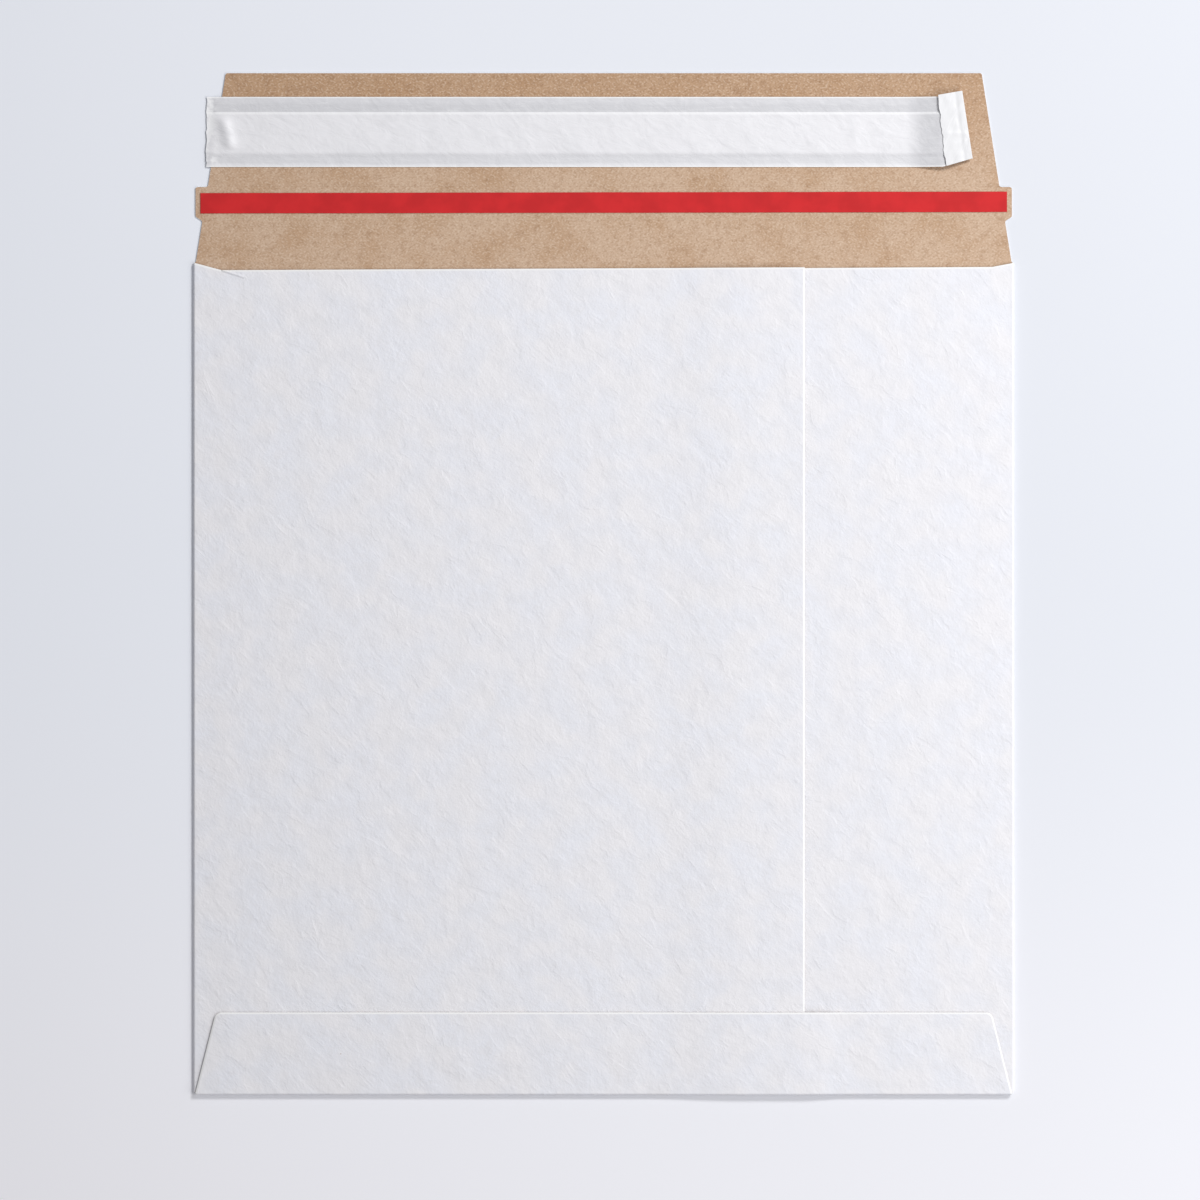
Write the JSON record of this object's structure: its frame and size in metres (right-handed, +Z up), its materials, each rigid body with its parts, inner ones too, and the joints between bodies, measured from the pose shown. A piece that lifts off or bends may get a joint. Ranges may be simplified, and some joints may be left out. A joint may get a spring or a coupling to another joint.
{
  "type": "calendar envelope",
  "caption": "Flat rigid mailer of white solid board with kraft inside, a glued side seam, a glued bottom flap and an open closing flap with red tear tape and a self-seal strip.",
  "frame": {"origin": "under the middle of the whole envelope with its flap open, on the surface that its front panel lies on", "axes": "+Y from the bottom fold to the tip of the open closing flap, +X to the right of someone looking at the seam side with the flap at the top, +Z up out of the seam side"},
  "size_m": [0.33, 0.411, 0.0039],
  "materials": {
    "white_board": "smooth matt white board with a faint diagonal wrinkle",
    "kraft_board": "unbleached kraft with fine fibres",
    "red_film": "satin film",
    "clear_adhesive": "tacky, translucent",
    "white_liner": "silicone-coated glassine, slight sheen",
    "hot_melt": "set hot-melt glue"
  },
  "bodies": {
    "pocket": {"folded_board": "white_board", "seam_glue": "hot_melt", "bottom_flap_glue": "hot_melt"},
    "flap": {"closing_flap": "kraft_board", "tear_tape": "red_film", "adhesive_strip": "clear_adhesive", "release_liner": "white_liner"}
  },
  "joints": [
    {"name": "flap_crease", "type": "hinge", "parent": "pocket", "child": "flap", "pos_m": [0, 0.12965, 0.0017], "axis": [1, 0, 0], "range_deg": [0, 176]}
  ]
}
